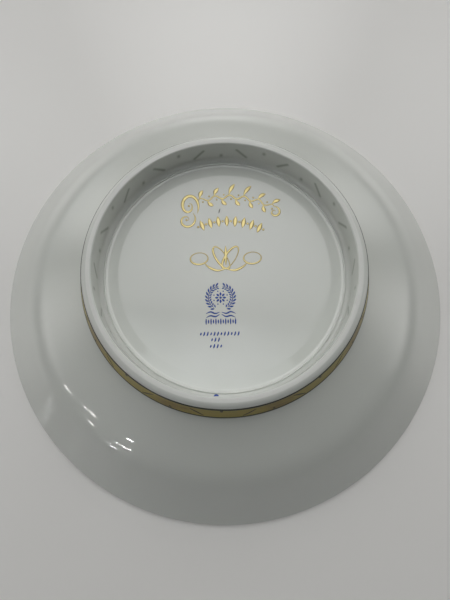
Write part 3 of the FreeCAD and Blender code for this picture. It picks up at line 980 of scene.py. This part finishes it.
class DISH_OT_blue_marks(bpy.types.Operator):
    """Print the wreath, rosette and ribbon, and brush the ticks and the painter's dab"""

    bl_idname = "dish.blue_marks"
    bl_label = "Blue marks"

    centre = (-2.1 * MM, -13.6 * MM)

    def around(self, reach, degrees):
        """Place at a distance and an angle, clockwise from straight up, about the mark's middle."""
        turn = math.radians(degrees)
        return self.centre[0] + reach * math.sin(turn), self.centre[1] + reach * math.cos(turn)

    def leaf(self, s, m, root_reach, tip_reach, root_turn, tip_turn, width):
        """Small leaf between two places about the mark's middle, reaches and width in mm."""
        root, tip = self.around(root_reach * MM, root_turn), self.around(tip_reach * MM, tip_turn)
        middle = ((root[0] + tip[0]) / 2, (root[1] + tip[1]) / 2)
        return base_mark(s, [root, middle, tip], width * MM, m.blue_thickness, 0.2)

    def execute(self, context):
        scene = context.scene
        s, m, colours = scene.dish_sizes, scene.dish_marks, scene.dish_colours
        blue = stroke_finish("cobalt_blue", colours.cobalt, 0.5)
        thick = m.blue_thickness
        x, y = self.centre

        leaves = []
        stem_reach, first_turn, leaf_step, pairs = 5.8, 8, 14.5, 10
        for side in (-1, 1):
            stem = [self.around(stem_reach * MM, side * turn) for turn in range(first_turn, 157, 14)]
            leaves.append(base_mark(s, stem, 0.4 * MM, thick, 0.8))
            for i in range(pairs):
                turn = side * (first_turn + leaf_step * i)
                leaves.append(self.leaf(s, m, stem_reach + 0.3, 7.5, turn + 14 * side, turn, 0.85))
                leaves.append(self.leaf(s, m, stem_reach - 0.3, 4.4, turn + 14 * side, turn, 0.7))
        stroke_piece("wreath_leaves", leaves, "blue_wreath", blue)

        petals = [bead(s, x, y, 0.6 * MM, thick)]
        for turn in range(0, 360, 45):
            petals.append(self.leaf(s, m, 0.9, 2.7, turn, turn, 1.0))
            petals.append(bead(s, *self.around(3.4 * MM, turn + 22.5), 0.32 * MM, thick))
        stroke_piece("rosette_petals", petals, "blue_rosette", blue)

        tails = []
        for side in (-1, 1):
            for tail in (((0.3, -7.0), (2.6, -7.7), (4.8, -6.9), (7.2, -7.9)),
                         ((0.3, -8.0), (2.4, -9.2), (4.9, -8.8), (7.0, -9.8))):
                spots = [(x + side * a * MM, y + b * MM) for a, b in tail]
                tails.append(base_mark(s, spots, 0.75 * MM, thick))
        bars, bar_step, bar_y = 13, 1.15, y - 11.6 * MM
        for i in range(bars):
            bar_x = x + bar_step * (i - bars // 2) * MM
            half = (1.5 if i % 2 == 0 else 1.0) * MM
            bar = [(bar_x, bar_y + share * half) for share in (-1, 0, 1)]
            tails.append(base_mark(s, bar, 0.68 * MM, thick, 0.4))
        stroke_piece("ribbon_and_bars", tails, "blue_ribbon", blue)

        rows = (("tick_row_long", -11.6, 12, -31.0), ("tick_row_short", -6.4, 3, -33.8),
                ("tick_row_low", -7.0, 4, -36.8))
        tick_step, slant, bow = 1.6, 0.3, 0.15
        for node, first, count, row_y in rows:
            ticks = []
            for i in range(count):
                tick_x = first + tick_step * i
                half = 1.05 if i % 3 else 0.7
                spots = np.array([(tick_x - slant * half, row_y - half), (tick_x + bow, row_y),
                                  (tick_x + slant * half, row_y + half)])
                ticks.append(base_mark(s, spots * MM, 0.7 * MM, thick, 0.5))
            stroke_piece(node + "_brushed", ticks, node, blue)

        slip = stroke_finish("dark_slip", colours.slip, 0.3)
        tick = np.array([(-2.5, 30.2), (-2.2, 31.6), (-1.8, 33.0)]) * MM
        mark = base_mark(s, tick, 0.6 * MM, thick)
        stroke_piece("dark_tick", [mark], "inspector_tick", slip)
        self.dab(s, thick, blue)
        return {"FINISHED"}

    def dab(self, s, thick, blue):
        """A comma of blue on the cove: its points follow the cove's slope above the toe."""
        count = 20
        line = smooth_line(np.array([(-5.7, -59.5), (-4.6, -59.0), (-3.4, -59.35)]) * MM, count)
        radius = np.hypot(line[:, 0], line[:, 1])
        slope = s.toe_height / (s.foot_inner - s.toe_radius)
        height = s.base_height + (radius - s.toe_radius) * slope + 0.06 * MM
        centres = np.column_stack([line, height])
        inward = -line / radius[:, None]
        normals = np.column_stack([inward * slope, np.ones(count)])
        normals /= np.linalg.norm(normals, axis=1, keepdims=True)
        share = swell(count, 0.3)
        rings = domed(centres, normals, 0.58 * MM * share, thick * np.sqrt(share), sink=0.1 * MM)
        stroke_piece("painters_comma", [(rings, False)], "painter_dab", blue)


# ---- stage -------------------------------------------------------------------------------
PANEL_DISTANCE = 1.5
PANEL_RISE = 0.03
ROOM_REACH = 3.0


def flat_sheet(name, corners, finish, seen=True):
    """Four-cornered sheet of the stage, with its corners at the corners of the unit square in UV.

    A sheet that is a light isn't seen itself, only its light and its reflections.
    """
    mesh = bpy.data.meshes.new(name)
    mesh.from_pydata([tuple(c) for c in corners], [], [(0, 1, 2, 3)])
    mesh.uv_layers.new(name="UVMap").data.foreach_set("uv", [0, 0, 1, 0, 1, 1, 0, 1])
    mesh.materials.append(finish)
    sheet = bpy.data.objects.new(name, mesh)
    sheet.visible_camera = seen
    bpy.context.scene.collection.objects.link(sheet)
    return sheet


def soft_panel(azimuth, elevation, size, brightness, shade, cloud):
    """Soft light in a direction from the dish (degrees), of a width and a height, facing the dish."""
    name = f"panel_{azimuth}_{elevation}"
    turn, rise = math.radians(azimuth), math.radians(elevation)
    out = np.array([math.cos(rise) * math.cos(turn), math.cos(rise) * math.sin(turn), math.sin(rise)])
    across = np.array([-math.sin(turn), math.cos(turn), 0]) * size[0] / 2
    up = np.cross(out, across / np.linalg.norm(across)) * size[1] / 2
    middle = PANEL_DISTANCE * out + (0, 0, PANEL_RISE)
    corners = [middle - across - up, middle + across - up, middle + across + up, middle - across + up]
    flat_sheet(name, corners, glow_finish(name, brightness, shade, 0.95, cloud), seen=False)


def slit_light(start, end, thickness, brightness):
    """Thin bright strip between two places, standing on edge."""
    start, end = np.array(start), np.array(end)
    up = np.array([0, 0, thickness / 2])
    corners = [start - up, end - up, end + up, start + up]
    flat_sheet("slit", corners, glow_finish("slit", brightness, (1, 1, 1), 0.2, 0.0), seen=False)


class DISH_OT_stage(bpy.types.Operator):
    """Set the pale table and backdrop, the soft lights and the camera"""

    bl_idname = "dish.stage"
    bl_label = "Stage"

    def execute(self, context):
        scene = context.scene
        settings = scene.dish_stage
        ring = [(x * ROOM_REACH, y * ROOM_REACH) for x, y in ((-1, -1), (1, -1), (1, 1), (-1, 1))]
        flat_sheet("table_top", [(x, y, 0) for x, y in ring], table_finish(scene.dish_colours))
        paper = backdrop_finish(scene.dish_colours)
        for (x0, y0), (x1, y1) in zip(ring, ring[1:] + ring[:1]):
            corners = [(x0, y0, 0), (x1, y1, 0), (x1, y1, ROOM_REACH), (x0, y0, ROOM_REACH)]
            wall = flat_sheet("backdrop", corners, paper)
            wall.visible_diffuse = wall.visible_glossy = wall.visible_shadow = False

        world = bpy.data.worlds.new("room")
        world.use_nodes = True
        background = world.node_tree.nodes["Background"]
        background.inputs["Color"].default_value = (0.95, 0.98, 1.0, 1)
        background.inputs["Strength"].default_value = settings.sky
        scene.world = world
        scene.view_settings.view_transform = "Standard"

        warm, plain, cool = (1, 0.985, 0.955), (1, 1, 0.99), (0.955, 0.985, 1)
        # Where each panel stands (degrees), its width and height, brightness, tint and cloudiness.
        for azimuth, elevation, size, brightness, shade, cloud in (
            (0, 14, (1.3, 0.7), 1.75, warm, 0), (180, 14, (1.3, 0.7), 1.55, warm, 0),
            (45, 14, (1.3, 0.7), 1.5, plain, 0), (90, 14, (1.3, 0.7), 2.2, plain, 0),
            (135, 14, (1.3, 0.7), 1.6, plain, 0), (45, 41, (1.5, 1.1), 1.2, plain, 0),
            (90, 41, (1.5, 1.1), 2.1, plain, 0), (135, 41, (1.5, 1.1), 1.1, plain, 0),
            (176, 60, (1.1, 1.0), 0.4, plain, 0), (4, 60, (1.1, 1.0), 0.4, plain, 0),
            (90, 66, (2.0, 1.2), 2.3, plain, 0), (180, 87, (1.1, 1.5), 3.5, cool, 0.3),
        ):
            soft_panel(azimuth, elevation, size, settings.panels * brightness, shade, cloud)
        # Both ends of each strip, its thickness and its share of the slits' brightness.
        for start, end, thickness, share in (
            ((-1.46, -0.532, 0.354), (-1.4, -0.642, 0.411), 0.016, 1.0),
            ((-1.31, -0.754, 0.505), (-1.192, -0.869, 0.6), 0.016, 1.0),
            ((-1.292, -0.888, 0.3), (-1.217, -0.973, 0.347), 0.008, 1.6),
            ((-1.118, -1.119, 0.222), (-1.013, -1.209, 0.256), 0.008, 1.4),
            ((-1.07, -1.113, 0.408), (-0.899, -1.232, 0.472), 0.01, 1.5),
            ((-0.933, -1.086, 0.695), (-0.871, -1.129, 0.707), 0.024, 1.0),
            ((0.586, -1.256, 0.779), (0.611, -1.263, 0.75), 0.02, 0.8),
        ):
            slit_light(start, end, thickness, settings.slits * share)

        data = bpy.data.cameras.new("camera")
        data.sensor_width = 36
        data.lens = settings.camera_lens
        data.clip_start = 0.01
        camera = bpy.data.objects.new("camera", data)
        turn = Matrix.Rotation(settings.camera_tilt, 4, "X") @ Matrix.Rotation(settings.camera_roll, 4, "Z")
        camera.matrix_world = Matrix.Translation((0, -settings.camera_back, settings.camera_height)) @ turn
        scene.collection.objects.link(camera)
        scene.camera = camera
        return {"FINISHED"}


class DISH_PT_panel(bpy.types.Panel):
    """Sizes, colours and pieces of the dish"""

    bl_idname = "DISH_PT_panel"
    bl_label = "Dish"
    bl_space_type = "VIEW_3D"
    bl_region_type = "UI"
    bl_category = "Dish"

    def draw(self, context):
        layout = self.layout
        for operator in OPERATORS:
            layout.operator(operator.bl_idname)
        for group in SETTINGS:
            values = getattr(context.scene, group)
            box = layout.box()
            for key in values.bl_rna.properties.keys():
                if key not in ("rna_type", "name"):
                    box.prop(values, key)


OPERATORS = (DISH_OT_bowl, DISH_OT_foot, DISH_OT_band, DISH_OT_gilding, DISH_OT_blue_marks, DISH_OT_stage)
SETTINGS = {
    "dish_sizes": DishSizes,
    "dish_band": BandSizes,
    "dish_marks": MarkSizes,
    "dish_colours": DishColours,
    "dish_stage": StageSettings,
}
CLASSES = (*SETTINGS.values(), *OPERATORS, DISH_PT_panel)


def register():
    for made in CLASSES:
        bpy.utils.register_class(made)
    for group, kind in SETTINGS.items():
        setattr(bpy.types.Scene, group, PointerProperty(type=kind))


def unregister():
    for group in SETTINGS:
        delattr(bpy.types.Scene, group)
    for made in reversed(CLASSES):
        bpy.utils.unregister_class(made)


def main():
    """Make everything."""
    register()
    for operator in ("stage", "bowl", "foot", "band", "gilding", "blue_marks"):
        getattr(bpy.ops.dish, operator)()


if __name__ == "__main__":
    main()
